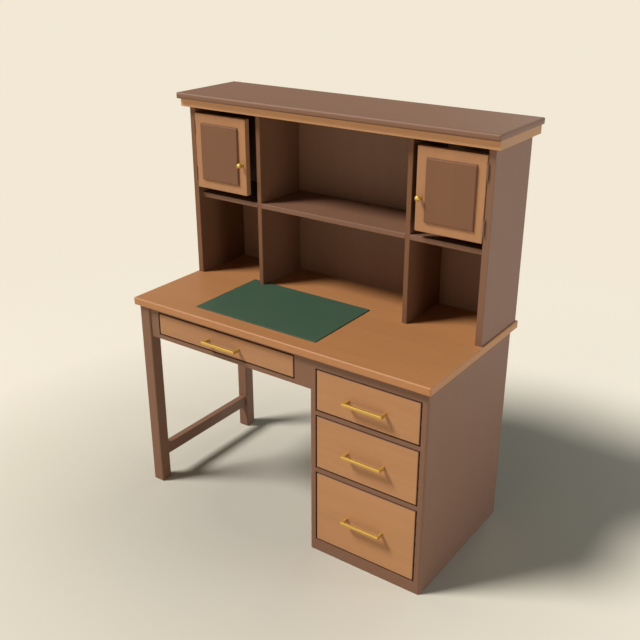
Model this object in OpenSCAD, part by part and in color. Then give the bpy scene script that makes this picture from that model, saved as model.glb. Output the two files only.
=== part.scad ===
// Writing desk with a hutch: a solid-wood desk with one drawer pedestal, a pencil drawer,
// and a two-door shelf unit standing on its back half. Sizes are millimetres, +Z is up,
// the front faces -Y, and the origin is on the floor under the middle of the whole piece.

/* [Desktop] */
// Width of the desktop board
top_w = 1200; // [1120:10:1300]
// Depth of the desktop board
top_d = 600; // [560:10:680]
// Height of the desktop's upper face above the floor
top_z = 760; // [720:5:800]
// Thickness of the desktop board
top_t = 28; // [22:1:36]
// Radius of the eased edges of the desktop
top_edge_r = 5; // [2:0.5:10]

/* [Leather writing surface] */
// Width of the leather
pad_w = 506; // [400:2:540]
// Depth of the leather, front to back
pad_d = 321; // [220:1:340]
// Thickness of the leather
pad_t = 3.5; // [2:0.5:5]
// Bare wood between the leather and the desktop's front edge
pad_front_gap = 61; // [30:1:90]
// Distance of the leather's middle to the left of the desk's middle
pad_shift = 102; // [60:1:120]

/* [Legs and stretcher] */
// Side of the square legs
leg_w = 46; // [40:1:56]
// Radius of the legs' eased edges
leg_edge_r = 5; // [2:0.5:8]
// Overhang of the desktop past the leg and past the pedestal at the two ends
end_overhang = 13; // [8:1:30]
// Overhang of the desktop in front of the front leg
leg_front_overhang = 14; // [8:1:20]
// Overhang of the desktop behind the rear leg and the pedestal
back_overhang = 28; // [10:1:50]
// Width of the side stretcher
stretcher_w = 24; // [16:1:30]
// Height of the side stretcher
stretcher_h = 44; // [30:1:60]
// Height of the stretcher's underside above the floor
stretcher_z = 97; // [60:1:160]

/* [Aprons] */
// Depth of the aprons below the desktop
apron_h = 115; // [105:1:140]
// Thickness of the aprons and of the face frame
apron_t = 20; // [16:1:24]
// Distance of the face frame behind the desktop's front edge
frame_setback = 20; // [16:1:30]
// Distance of the rear apron in front of the rear leg's back face
rear_apron_inset = 10; // [4:1:20]
// Width of the stile between the front leg and the pencil drawer
pencil_stile_w = 38; // [24:1:60]
// Width of the stile between the pencil drawer and the pedestal
inner_stile_w = 60; // [30:1:90]
// Height of the rail above the pencil drawer
pencil_top_rail_h = 13; // [10:1:20]
// Height of the rail below the pencil drawer
pencil_bottom_rail_h = 14.5; // [10:0.5:20]

/* [Pedestal] */
// Width of the drawer pedestal
pedestal_w = 428; // [396:2:460]
// Thickness of the pedestal's side panels
carcase_t = 18; // [15:1:18]
// Thickness of the back panels
back_panel_t = 10; // [6:1:12]
// Width of the face frame's left stile
left_stile_w = 22; // [18:1:30]
// Width of the face frame's right stile
right_stile_w = 22; // [18:1:36]
// Radius of the pedestal's front corner
pedestal_edge_r = 8; // [2:0.5:10]
// Height of the plinth rail under the lowest drawer
plinth_h = 43; // [30:1:70]
// Height of the lowest drawer's opening
lower_h = 273; // [240:1:290]
// Height of the middle drawer's opening
middle_h = 200; // [170:1:210]
// Height of the rails between the drawers
rail_h = 14; // [10:1:18]
// Height of the rail above the upper drawer
head_rail_h = 36; // [24:1:44]

/* [Drawers] */
// Dark gap all round a drawer's front
reveal = 4; // [2:0.25:5]
// Distance that the drawer fronts stand proud of the face frame
front_proud = 0; // [0:0.5:6]
// Thickness of the drawer fronts
front_t = 20; // [18:1:24]
// Radius of the fronts' eased edges
front_edge_r = 4; // [1:0.5:6]
// Thickness of the drawer sides
box_side_t = 12; // [9:1:15]
// Thickness of the drawer backs
box_back_t = 12; // [9:1:15]
// Thickness of the drawer bottoms
box_bottom_t = 5; // [4:0.5:8]
// Depth of the grooves that hold the drawer bottoms
groove_d = 6; // [4:0.5:7]
// Height of wood under the groove
groove_z = 9; // [6:0.5:12]
// Distance of the drawer sides' upper edge below the front's upper edge
side_drop = 12; // [8:1:24]
// Length of the pencil drawer from face to back
pencil_depth = 400; // [340:10:440]
// Gap between the pedestal drawers' backs and the back panel
drawer_back_gap = 42; // [10:2:120]
// Length of the dovetails that enter the drawer fronts
lap = 14; // [10:0.5:15]
// Spacing wanted between dovetails
tail_pitch = 40; // [30:1:60]
// Share of the spacing that is tail at its narrow end
tail_share = 0.55; // [0.4:0.05:0.65]
// Widening of a tail on each side for each millimetre of its length
tail_slope = 0.15; // [0.1:0.01:0.2]
// Width of the runners under the drawer sides
runner_w = 26; // [20:1:34]
// Height of the runners
runner_h = 14; // [10:1:18]
// Height of the guides beside the drawer sides
guide_h = 22; // [14:1:30]

/* [Drawer pulls] */
// Length of a drawer pull
pull_l = 144; // [96:2:200]
// Side of the pull's square bar
pull_bar = 10; // [6:0.5:12]
// Distance from the drawer's face to the front of the bar
pull_reach = 32; // [20:1:36]
// Distance of a pull below the middle of its opening
pull_drop = 3; // [0:0.5:8]
// Radius of the bar's eased edges
pull_edge_r = 1.2; // [0.5:0.1:2]

/* [Hutch] */
// Distance of the hutch's side panels inside the desktop's ends
hutch_end_gap = 7; // [5:1:30]
// Depth of the hutch's side panels
hutch_d = 255; // [220:5:280]
// Distance of the hutch's back in front of the desktop's back edge
hutch_back_gap = 10; // [0:1:20]
// Height from the desktop to the underside of the cornice board
hutch_h = 652; // [600:2:720]
// Thickness of the hutch's side panels
hutch_side_t = 23; // [18:1:28]
// Thickness of the two dividers
divider_t = 18; // [15:1:22]
// Clear width of the bays beside the dividers
side_bay_w = 259; // [230:1:280]
// Distance of the dividers and shelves behind the side panels' front edge
inner_setback = 20; // [15:1:30]
// Height of the shelves' underside above the desktop
shelf_z = 292; // [260:2:300]
// Thickness of the shelves
shelf_t = 18; // [15:1:22]
// Depth of the housings that hold the shelf ends
housing_d = 5; // [3:0.5:7]
// Distance that a housing stops behind the front edge
housing_stop = 14; // [8:1:30]
// Radius of the eased front edges of panels and shelves
panel_edge_r = 2; // [0.5:0.5:4]
// Radius of the dowels under the hutch
dowel_r = 4; // [3:0.5:5]
// Length of the dowels
dowel_l = 32; // [24:1:40]

/* [Cornice] */
// Thickness of the cornice board
cornice_t = 22; // [16:1:30]
// Overhang of the cornice board past the hutch at each end
cornice_end = 27.5; // [22:0.5:40]
// Overhang of the cornice board in front of the hutch
cornice_front = 39; // [24:1:50]
// Overhang of the cornice board behind the hutch
cornice_back = 22; // [0:1:24]
// Radius of the cornice board's eased edges
cornice_edge_r = 7.5; // [2:0.5:8]
// Height of the moulding under the cornice board
moulding_h = 28; // [20:1:40]
// Thickness of the moulding
moulding_t = 21; // [14:1:22]
// Radius of the moulding's lower outer edge
moulding_r = 3; // [2:0.5:10]
// Distance that the moulding runs past the hutch's back
moulding_tail = 12; // [0:1:14]

/* [Doors] */
// Gap between a door and its divider
door_side_gap = 27; // [6:0.5:32]
// Height of a door
door_h = 268; // [240:1:280]
// Gap between the shelf and the door's lower edge
door_z_gap = 25; // [10:1:30]
// Thickness of the door frames
door_t = 21; // [18:1:21]
// Distance that the doors stand proud of the side panels
door_proud = 3; // [2:0.5:8]
// Gap between a door and the side panel that carries it
hinge_gap = 1.5; // [1.4:0.1:2.5]
// Width of the door's rails and of its knob stile
door_frame_w = 33; // [26:1:44]
// Width of the door's hinge stile
hinge_stile_w = 28; // [22:1:44]
// Distance that the raised panel stands proud of the frame
panel_proud = 7; // [3:0.5:10]
// Thickness of the panel's tongue
tongue_t = 6; // [4:0.5:8]
// Depth of the groove in the door frames
door_groove_d = 8; // [6:0.5:10]
// Radius of the raised panel's eased edges
field_edge_r = 4; // [1:0.5:6]
// Radius of the ball of a knob
knob_r = 9.5; // [7:0.5:12]
// Distance from the door's face to the middle of the ball
knob_reach = 17; // [13:0.5:24]
// Distance of the knob below the door's middle
knob_drop = 25; // [0:1:40]

/* [Hinges] */
// Height of a butt hinge
hinge_h = 50; // [40:1:60]
// Outer radius of the hinge barrel
barrel_r = 2.8; // [2.4:0.1:3.2]
// Radius of the hinge pin
pin_r = 1.2; // [1:0.05:1.4]
// Thickness of a hinge leaf
leaf_t = 0.6; // [0.5:0.05:0.6]
// Distance of each hinge's middle from the door's end
hinge_end = 50; // [35:1:70]

/* [Fits] */
// Gap left at glued and grooved wood joints
joint_gap = 0.1; // [0.05:0.05:0.3]
// Gap under a drawer side on its runner
seat_gap = 0.3; // [0.2:0.05:0.5]
// Gap beside a drawer side at its guide
slide_gap = 0.5; // [0.3:0.1:1]
// Running gap of a hinge pin in its moving knuckle
pin_gap = 0.05; // [0.02:0.01:0.1]

/* [Hidden] */
$fn = 48;

// Colours of the four finishes
DARK = "#7d5f4b";
LIGHT = "#b5845a";
BRASS = "#c9a24a";
GREEN = "#40563f";
BRONZE = "#5a4536";
PALE = "#c9ab80";

// Length that a cut runs past a surface so that it opens it cleanly
past = 1;

// Desktop
top_x = top_w / 2;
top_y = top_d / 2;
top_under = top_z - top_t;

// Legs
leg_x0 = -top_x + end_overhang;
leg_x1 = leg_x0 + leg_w;
leg_mid = leg_x0 + leg_w / 2;
front_leg_y0 = -top_y + leg_front_overhang;
front_leg_y1 = front_leg_y0 + leg_w;
rear_y1 = top_y - back_overhang;
rear_leg_y0 = rear_y1 - leg_w;

// Stub tenons that enter the legs
tenon_l = 12;
tenon_t = 8;
tenon_shoulder = 8;

// Aprons and the pencil drawer's opening
frame_y0 = -top_y + frame_setback;
frame_y1 = frame_y0 + apron_t;
apron_z0 = top_under - apron_h;
ped_x1 = top_x - end_overhang;
ped_x0 = ped_x1 - pedestal_w;
pencil_x0 = leg_x1 + pencil_stile_w;
pencil_x1 = ped_x0 - inner_stile_w;
pencil_w = pencil_x1 - pencil_x0;
pencil_z0 = apron_z0 + pencil_bottom_rail_h;
pencil_h = top_under - pencil_top_rail_h - pencil_z0;
rear_apron_y1 = rear_y1 - rear_apron_inset;
rear_apron_y0 = rear_apron_y1 - apron_t;

// Pedestal
ped_in0 = ped_x0 + carcase_t;
ped_in1 = ped_x1 - carcase_t;
open_x0 = ped_x0 + left_stile_w;
open_w = pedestal_w - left_stile_w - right_stile_w;
lower_z0 = plinth_h;
middle_z0 = lower_z0 + lower_h + rail_h;
upper_z0 = middle_z0 + middle_h + rail_h;
upper_h = top_under - head_rail_h - upper_z0;
rail_tenon = 8;

// Drawers: opening's left edge, lower edge, width, height, and the drawer's length
face_y = frame_y0 - front_proud;
front_back_y = face_y + front_t;
drawer_depth = rear_y1 - back_panel_t - drawer_back_gap - face_y;
PENCIL = [pencil_x0, pencil_z0, pencil_w, pencil_h, pencil_depth];
UPPER = [open_x0, upper_z0, open_w, upper_h, drawer_depth];
MIDDLE = [open_x0, middle_z0, open_w, middle_h, drawer_depth];
LOWER = [open_x0, lower_z0, open_w, lower_h, drawer_depth];
groove_top = groove_z + box_bottom_t;
tail_room = 4;

// Hutch
hutch_x = top_x - hutch_end_gap;
hutch_y1 = top_y - hutch_back_gap;
hutch_y0 = hutch_y1 - hutch_d;
hutch_z1 = top_z + hutch_h;
hutch_in = hutch_x - hutch_side_t;
inner_y0 = hutch_y0 + inner_setback;
back_y0 = hutch_y1 - back_panel_t;
div_out = hutch_in - side_bay_w;
div_in = div_out - divider_t;
shelf_z0 = top_z + shelf_z;
shelf_z1 = shelf_z0 + shelf_t;
rebate = 8;
dowel_in_top = 14;
dowel_margin = 45;

// Doors and hinges, drawn on the right and mirrored to the left
door_x1 = hutch_in - hinge_gap;
door_x0 = div_out + door_side_gap;
door_w = door_x1 - door_x0;
door_y0 = hutch_y0 - door_proud;
door_y1 = door_y0 + door_t;
door_z0 = shelf_z1 + door_z_gap;
door_z1 = door_z0 + door_h;
tongue_y0 = door_y0 + (door_t - tongue_t) / 2;
tongue_y1 = tongue_y0 + tongue_t;
knob_z = (door_z0 + door_z1) / 2 - knob_drop;
pin_x = hutch_in + hinge_gap;
pin_y = hutch_y0 - barrel_r - 0.7;
leaf_end = 14;
knuckle_gap = 0.3;
knuckle_l = (hinge_h - 2 * knuckle_gap) / 3;
HINGE_Z = [door_z0 + hinge_end, door_z1 - hinge_end];

// Number of dovetails on a drawer side, and the middle height of each
function box_z0(o) = o[1] + reveal;
function box_z1(o) = o[1] + o[3] - reveal - side_drop;
function tail_z0(o) = box_z0(o) + groove_top + tail_room;
function tail_n(o) = max(2, round((box_z1(o) - tail_z0(o)) / tail_pitch));
function tail_step(o) = (box_z1(o) - tail_z0(o)) / tail_n(o);
function tail_z(o, k) = tail_z0(o) + tail_step(o) * (k + 0.5);
function box_x0(o) = o[0] + reveal;
function box_w(o) = o[2] - 2 * reveal;
function mid_x(o) = o[0] + o[2] / 2;

// Box between two corners
module span(p, q) {
    translate(p) cube(q - p);
}

// Flat rectangle with four round corners, made of exact arcs
module round_rect(w, h, r) {
    translate([r, 0]) square([w - 2 * r, h]);
    translate([0, r]) square([w, h - 2 * r]);
    for (x = [r, w - r], y = [r, h - r]) translate([x, y]) circle(r);
}

// Flat rectangle whose two front corners are round
module front_round(w, d, r) {
    intersection() {
        round_rect(w, d + 2 * r, r);
        square([w, d]);
    }
}

// Board with every edge eased, as crossed extrusions of three rounded outlines
module eased_board(p, s, r) {
    translate(p) intersection() {
        linear_extrude(s.z) round_rect(s.x, s.y, r);
        translate([0, s.y, 0]) rotate([90, 0, 0]) linear_extrude(s.y) round_rect(s.x, s.z, r);
        rotate([90, 0, 90]) linear_extrude(s.x) round_rect(s.y, s.z, r);
    }
}

// Upright board with eased front edges
module upright(p, q, r) {
    translate(p) linear_extrude(q.z - p.z) front_round(q.x - p.x, q.y - p.y, r);
}

// Level board with eased front edges
module level_board(p, q, r) {
    translate(p) rotate([90, 0, 90]) linear_extrude(q.x - p.x) intersection() {
        round_rect(q.y - p.y + 2 * r, q.z - p.z, r);
        square([q.y - p.y, q.z - p.z]);
    }
}

// Copy mirrored about a plane at x
module mirror_at(x) {
    translate([2 * x, 0, 0]) mirror([1, 0, 0]) children();
}

// DESK FRAME

module desktop() {
    color(LIGHT) difference() {
        eased_board([-top_x, -top_y, top_under], [top_w, top_d, top_t], top_edge_r);
        dowels(joint_gap);
    }
}

module writing_surface() {
    pad_x0 = -pad_shift - pad_w / 2;
    pad_y0 = -top_y + pad_front_gap;
    foot_gap = 1;
    color(GREEN) difference() {
        span([pad_x0, pad_y0, top_z], [pad_x0 + pad_w, pad_y0 + pad_d, top_z + pad_t]);
        for (s = [-1, 1]) divider_cut(s * (div_in + div_out) / 2, foot_gap);
    }
}

// Cut in the leather that lets a divider stand on the bare wood
module divider_cut(x, g) {
    half = divider_t / 2 + g;
    span([x - half, inner_y0 - g, top_z - past], [x + half, top_y, top_z + pad_t + past]);
}

// Square leg with eased edges, rounded at the foot and cut flat under the desktop
module leg(y0) {
    intersection() {
        eased_board([leg_x0, y0, 0], [leg_w, leg_w, top_z], leg_edge_r);
        span([leg_x0, y0, 0], [leg_x1, y0 + leg_w, top_under]);
    }
}

module front_leg() {
    color(DARK) difference() {
        leg(front_leg_y0);
        side_apron_tenons(joint_gap);
        stretcher_tenons(joint_gap);
        left_stile_tenon(joint_gap);
    }
}

module rear_leg() {
    color(DARK) difference() {
        leg(rear_leg_y0);
        side_apron_tenons(joint_gap);
        stretcher_tenons(joint_gap);
        rear_apron_tenon(joint_gap);
    }
}

// Tenons at the two ends of the stretcher, or their mortises with a gap g
module stretcher_tenons(g) {
    span([leg_mid - tenon_t / 2 - g, front_leg_y1 - tenon_l - g, stretcher_z + tenon_shoulder - g],
        [leg_mid + tenon_t / 2 + g, rear_leg_y0 + tenon_l + g,
            stretcher_z + stretcher_h - tenon_shoulder + g]);
}

module side_stretcher() {
    color(DARK) {
        span([leg_mid - stretcher_w / 2, front_leg_y1, stretcher_z],
            [leg_mid + stretcher_w / 2, rear_leg_y0, stretcher_z + stretcher_h]);
        stretcher_tenons(0);
    }
}

module side_apron_tenons(g) {
    span([leg_mid - tenon_t / 2 - g, front_leg_y1 - tenon_l - g, apron_z0 + tenon_shoulder - g],
        [leg_mid + tenon_t / 2 + g, rear_leg_y0 + tenon_l + g, top_under - tenon_shoulder + g]);
}

module side_apron() {
    color(DARK) {
        span([leg_mid - apron_t / 2, front_leg_y1, apron_z0],
            [leg_mid + apron_t / 2, rear_leg_y0, top_under]);
        side_apron_tenons(0);
    }
}

module rear_apron_tenon(g) {
    mid = (rear_apron_y0 + rear_apron_y1) / 2;
    span([leg_x1 - tenon_l - g, mid - tenon_t / 2 - g, apron_z0 + tenon_shoulder - g],
        [leg_x1 + past, mid + tenon_t / 2 + g, top_under - tenon_shoulder + g]);
}

module rear_apron() {
    color(DARK) {
        span([leg_x1, rear_apron_y0, apron_z0], [ped_x0, rear_apron_y1, top_under]);
        rear_apron_tenon(0);
    }
}

// FACE FRAME

// Tenon of the pencil drawer's left stile in the front leg
module left_stile_tenon(g) {
    mid = (frame_y0 + frame_y1) / 2;
    span([leg_x1 - tenon_l - g, mid - tenon_t / 2 - g, apron_z0 + tenon_shoulder - g],
        [leg_x1 + past, mid + tenon_t / 2 + g, top_under - tenon_shoulder + g]);
}

// Rail between two stiles with a stub tenon at each end
module rail(x0, x1, z0, z1) {
    span([x0, frame_y0, z0], [x1, frame_y1, z1]);
    rail_tenons(x0, x1, z0, z1, 0);
}

module rail_tenons(x0, x1, z0, z1, g) {
    mid = (frame_y0 + frame_y1) / 2;
    rail_shoulder = (z1 - z0) / 5;
    span([x0 - rail_tenon - g, mid - tenon_t / 2 - g, z0 + rail_shoulder - g],
        [x1 + rail_tenon + g, mid + tenon_t / 2 + g, z1 - rail_shoulder + g]);
}

// Tenons of both pencil rails, or their mortises
module pencil_rail_tenons(g) {
    rail_tenons(pencil_x0, pencil_x1, apron_z0, pencil_z0, g);
    rail_tenons(pencil_x0, pencil_x1, pencil_z0 + pencil_h, top_under, g);
}

module apron_left_stile() {
    color(DARK) {
        difference() {
            span([leg_x1, frame_y0, apron_z0], [pencil_x0, frame_y1, top_under]);
            pencil_rail_tenons(joint_gap);
        }
        left_stile_tenon(0);
    }
}

module apron_right_stile() {
    color(DARK) difference() {
        span([pencil_x1, frame_y0, apron_z0], [ped_x0, frame_y1, top_under]);
        pencil_rail_tenons(joint_gap);
    }
}

module apron_top_rail() {
    color(DARK) rail(pencil_x0, pencil_x1, pencil_z0 + pencil_h, top_under);
}

module apron_bottom_rail() {
    color(DARK) rail(pencil_x0, pencil_x1, apron_z0, pencil_z0);
}

// Lower and upper edge of each rail of the pedestal's face frame
RAILS = [
    [0, plinth_h],
    [lower_z0 + lower_h, middle_z0],
    [middle_z0 + middle_h, upper_z0],
    [upper_z0 + upper_h, top_under]
];

module pedestal_rails() {
    color(DARK) for (r = RAILS) rail(open_x0, open_x0 + open_w, r[0], r[1]);
}

module pedestal_stiles() {
    color(DARK) difference() {
        intersection() {
            union() {
                upright([ped_x0, frame_y0, 0], [ped_x1, frame_y1, apron_z0], pedestal_edge_r);
                upright([ped_x0 - apron_t, frame_y0, apron_z0], [ped_x1, frame_y1, top_under],
                    pedestal_edge_r);
            }
            union() {
                span([ped_x0, frame_y0, 0], [open_x0, frame_y1, top_under]);
                span([open_x0 + open_w, frame_y0, 0], [ped_x1, frame_y1, top_under]);
            }
        }
        for (r = RAILS) rail_tenons(open_x0, open_x0 + open_w, r[0], r[1], joint_gap);
    }
}

// PEDESTAL CARCASE

// Side panel from x0 to x1 with a rebate for the back panel on the inner side
module carcase_side(x0, x1, rebate_x0, rebate_x1) {
    difference() {
        span([x0, frame_y1, 0], [x1, rear_y1, top_under]);
        span([rebate_x0, rear_y1 - back_panel_t, -past], [rebate_x1, rear_y1 + past,
            top_under + past]);
    }
}

module pedestal_left_side() {
    color(DARK) carcase_side(ped_x0, ped_in0, ped_in0 - rebate, ped_in0 + past);
}

module pedestal_right_side() {
    color(DARK) carcase_side(ped_in1, ped_x1, ped_in1 - past, ped_in1 + rebate);
}

module pedestal_back() {
    color(DARK) span([ped_in0 - rebate, rear_y1 - back_panel_t, 0],
        [ped_in1 + rebate, rear_y1, top_under]);
}

module pedestal_bottom() {
    color(PALE) span([ped_in0, frame_y1, plinth_h - carcase_t],
        [ped_in1, rear_y1 - back_panel_t, plinth_h]);
}

// RUNNERS

// Runner strip and guide strip for one drawer side; outer is the face that carries them
module runner_pair(o, outer_left, outer_right, y1) {
    z = box_z0(o) - seat_gap;
    left_in = box_x0(o) - slide_gap;
    right_in = box_x0(o) + box_w(o) + slide_gap;
    span([outer_left, frame_y1, z - runner_h], [outer_left + runner_w, y1, z]);
    span([outer_right - runner_w, frame_y1, z - runner_h], [outer_right, y1, z]);
    span([outer_left, frame_y1, z], [left_in, y1, z + guide_h]);
    span([right_in, frame_y1, z], [outer_right, y1, z + guide_h]);
}

module pedestal_runners() {
    color(PALE) {
        for (o = [UPPER, MIDDLE]) runner_pair(o, ped_in0, ped_in1, rear_y1 - back_panel_t);
        lower_runners();
    }
}

// The lowest drawer runs on strips that lie on the pedestal's bottom
module lower_runners() {
    z = box_z0(LOWER) - seat_gap;
    y1 = rear_y1 - back_panel_t;
    left_in = box_x0(LOWER) - slide_gap;
    right_in = box_x0(LOWER) + box_w(LOWER) + slide_gap;
    span([ped_in0, frame_y1, plinth_h], [ped_in0 + runner_w, y1, z]);
    span([ped_in1 - runner_w, frame_y1, plinth_h], [ped_in1, y1, z]);
    span([ped_in0, frame_y1, z], [left_in, y1, z + guide_h]);
    span([right_in, frame_y1, z], [ped_in1, y1, z + guide_h]);
}

module pencil_runners() {
    guide_t = 8;
    kicker_gap = 1;
    left_out = box_x0(PENCIL) - slide_gap - guide_t;
    right_out = box_x0(PENCIL) + box_w(PENCIL) + slide_gap + guide_t;
    color(PALE) {
        runner_pair(PENCIL, left_out, right_out, rear_apron_y0);
        for (x = [left_out, right_out - runner_w])
            span([x, frame_y1, box_z1(PENCIL) + kicker_gap],
                [x + runner_w, rear_apron_y0, top_under]);
    }
}

// DRAWERS

// Dovetails of a left drawer side from their root to their tip; with g they are the sockets
module tails(o, root, tip, g) {
    dir = tip < root ? -1 : 1;
    flare = tail_slope * abs(tip - root);
    half = tail_step(o) * tail_share / 2;
    translate([box_x0(o) - (g > 0 ? past : 0), 0, 0]) rotate([90, 0, 90])
        linear_extrude(box_side_t + (g > 0 ? past + g : 0))
            for (k = [0:tail_n(o) - 1]) {
                z = tail_z(o, k);
                polygon([
                    [root, z - half - g],
                    [tip + dir * g, z - half - flare - g],
                    [tip + dir * g, z + half + flare + g],
                    [root, z + half + g]
                ]);
            }
}

// Dovetails or sockets at both sides of a drawer
module both_tails(o, root, tip, g) {
    tails(o, root, tip, g);
    mirror_at(mid_x(o)) tails(o, root, tip, g);
}

module drawer_front(o) {
    z0 = o[1] + reveal;
    z1 = o[1] + o[3] - reveal;
    inner_x0 = box_x0(o) + box_side_t - groove_d - joint_gap;
    color(LIGHT) difference() {
        intersection() {
            eased_board([box_x0(o), face_y, z0], [box_w(o), front_t + 3 * front_edge_r, z1 - z0],
                front_edge_r);
            span([box_x0(o), face_y, z0], [box_x0(o) + box_w(o), front_back_y, z1]);
        }
        both_tails(o, front_back_y + past, front_back_y - lap, joint_gap);
        span([inner_x0, front_back_y - groove_d - joint_gap, z0 + groove_z - joint_gap],
            [2 * mid_x(o) - inner_x0, front_back_y + past, z0 + groove_top + joint_gap]);
    }
}

// Left side: a board with tails at both ends and a groove for the bottom
module drawer_side(o) {
    z0 = box_z0(o);
    x0 = box_x0(o);
    y0 = front_back_y + joint_gap;
    y1 = face_y + o[4];
    shoulder = y1 - box_back_t - joint_gap;
    difference() {
        union() {
            span([x0, y0, z0], [x0 + box_side_t, shoulder, box_z1(o)]);
            span([x0, shoulder - past, z0], [x0 + box_side_t, y1, z0 + groove_top]);
            tails(o, y0 + past, front_back_y - lap + joint_gap, 0);
            tails(o, shoulder - past, y1, 0);
        }
        span([x0 + box_side_t - groove_d - joint_gap, y0 - past, z0 + groove_z - joint_gap],
            [x0 + box_side_t + past, y1 + past, z0 + groove_top + joint_gap]);
    }
}

module drawer_sides(o) {
    color(PALE) {
        drawer_side(o);
        mirror_at(mid_x(o)) drawer_side(o);
    }
}

module drawer_back(o) {
    y1 = face_y + o[4];
    color(PALE) difference() {
        span([box_x0(o), y1 - box_back_t, box_z0(o) + groove_top + joint_gap],
            [box_x0(o) + box_w(o), y1, box_z1(o)]);
        both_tails(o, y1 - box_back_t - past, y1 + past, joint_gap);
    }
}

module drawer_bottom(o) {
    x0 = box_x0(o) + box_side_t - groove_d;
    color(PALE) span([x0, front_back_y - groove_d, box_z0(o) + groove_z],
        [2 * mid_x(o) - x0, face_y + o[4], box_z0(o) + groove_top]);
}

// Square bar on two square posts
module drawer_pull(o) {
    z0 = o[1] + o[3] / 2 - pull_drop - pull_bar / 2;
    x0 = mid_x(o) - pull_l / 2;
    y0 = face_y - pull_reach;
    color(BRASS) {
        eased_board([x0, y0, z0], [pull_l, pull_bar, pull_bar], pull_edge_r);
        for (x = [x0, x0 + pull_l - pull_bar]) intersection() {
            eased_board([x, y0, z0], [pull_bar, pull_reach + 3 * pull_edge_r, pull_bar],
                pull_edge_r);
            span([x, y0, z0], [x + pull_bar, face_y, z0 + pull_bar]);
        }
    }
}

// HUTCH

// Dowels in the desktop under the uprights, or their holes with a gap g
module dowels(g) {
    side_x = hutch_x - hutch_side_t / 2;
    div_x = div_in + divider_t / 2;
    side_y = [hutch_y0 + dowel_margin, back_y0 - dowel_margin];
    for (s = [-1, 1]) {
        for (y = side_y) dowel(s * side_x, y, g);
        dowel(s * div_x, (inner_y0 + back_y0) / 2, g);
    }
}

module dowel(x, y, g) {
    translate([x, y, top_z - dowel_in_top - g]) cylinder(r = dowel_r + g, h = dowel_l + 2 * g);
}

module hutch_dowels() {
    color(PALE) dowels(0);
}

// Stopped housing for a shelf end, from x0 to x1
module housing(x0, x1) {
    span([x0, inner_y0 + housing_stop - joint_gap, shelf_z0 - joint_gap],
        [x1, back_y0 + past, shelf_z1 + joint_gap]);
}

// Right side panel of the hutch; the left one is its mirror image
module hutch_side() {
    difference() {
        upright([hutch_in, hutch_y0, top_z], [hutch_x, hutch_y1, hutch_z1], panel_edge_r);
        span([hutch_in - past, back_y0, top_z - past], [hutch_in + rebate, hutch_y1 + past,
            hutch_z1 + past]);
        housing(hutch_in - past, hutch_in + housing_d + joint_gap);
        dowels(joint_gap);
    }
}

module hutch_right_side() {
    color(DARK) hutch_side();
}

module hutch_left_side() {
    color(DARK) mirror([1, 0, 0]) hutch_side();
}

module divider() {
    difference() {
        upright([div_in, inner_y0, top_z], [div_out, back_y0, hutch_z1], panel_edge_r);
        housing(div_in - past, div_in + housing_d + joint_gap);
        housing(div_out - housing_d - joint_gap, div_out + past);
        dowels(joint_gap);
    }
}

module right_divider() {
    color(DARK) divider();
}

module left_divider() {
    color(DARK) mirror([1, 0, 0]) divider();
}

// Shelf between two faces, with a tongue at each end that enters the housings
module shelf(x0, x1) {
    level_board([x0, inner_y0, shelf_z0], [x1, back_y0, shelf_z1], panel_edge_r);
    span([x0 - housing_d, inner_y0 + housing_stop, shelf_z0],
        [x1 + housing_d, back_y0, shelf_z1]);
}

module hutch_shelves() {
    color(DARK) {
        shelf(-hutch_in, -div_out);
        shelf(-div_in, div_in);
        shelf(div_out, hutch_in);
    }
}

module hutch_back() {
    color(DARK) span([-hutch_in - rebate, back_y0, top_z], [hutch_in + rebate, hutch_y1,
        hutch_z1]);
}

module cornice_board() {
    color(DARK) eased_board([-hutch_x - cornice_end, hutch_y0 - cornice_front, hutch_z1],
        [2 * (hutch_x + cornice_end), hutch_d + cornice_front + cornice_back, cornice_t],
        cornice_edge_r);
}

// Moulding outline: out from the hutch and up to the cornice board, lower edge round
module moulding_outline() {
    difference() {
        square([moulding_t, moulding_h]);
        translate([moulding_t - moulding_r, 0]) difference() {
            square([moulding_r + past, moulding_r]);
            translate([0, moulding_r]) circle(moulding_r);
        }
    }
}

// Front length, cut to mitres at both ends
module moulding_front() {
    half = hutch_x + moulding_t;
    intersection() {
        translate([half, hutch_y0, hutch_z1 - moulding_h]) rotate([90, 0, -90])
            linear_extrude(2 * half) moulding_outline();
        translate([0, 0, hutch_z1 - moulding_h]) linear_extrude(moulding_h) polygon([
            [-hutch_x + joint_gap, hutch_y0], [hutch_x - joint_gap, hutch_y0],
            [half - joint_gap, hutch_y0 - moulding_t], [-half + joint_gap, hutch_y0 - moulding_t]
        ]);
    }
}

// Right return, mitred at its front end
module moulding_return() {
    y0 = hutch_y0 - moulding_t;
    y1 = hutch_y1 + moulding_tail;
    intersection() {
        translate([hutch_x, y1, hutch_z1 - moulding_h]) rotate([90, 0, 0])
            linear_extrude(y1 - y0) moulding_outline();
        translate([0, 0, hutch_z1 - moulding_h]) linear_extrude(moulding_h) polygon([
            [hutch_x, hutch_y0], [hutch_x + moulding_t, y0],
            [hutch_x + moulding_t, y1], [hutch_x, y1]
        ]);
    }
}

module cornice_moulding() {
    color(LIGHT) {
        moulding_front();
        moulding_return();
        mirror([1, 0, 0]) moulding_return();
    }
}

// DOORS

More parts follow.
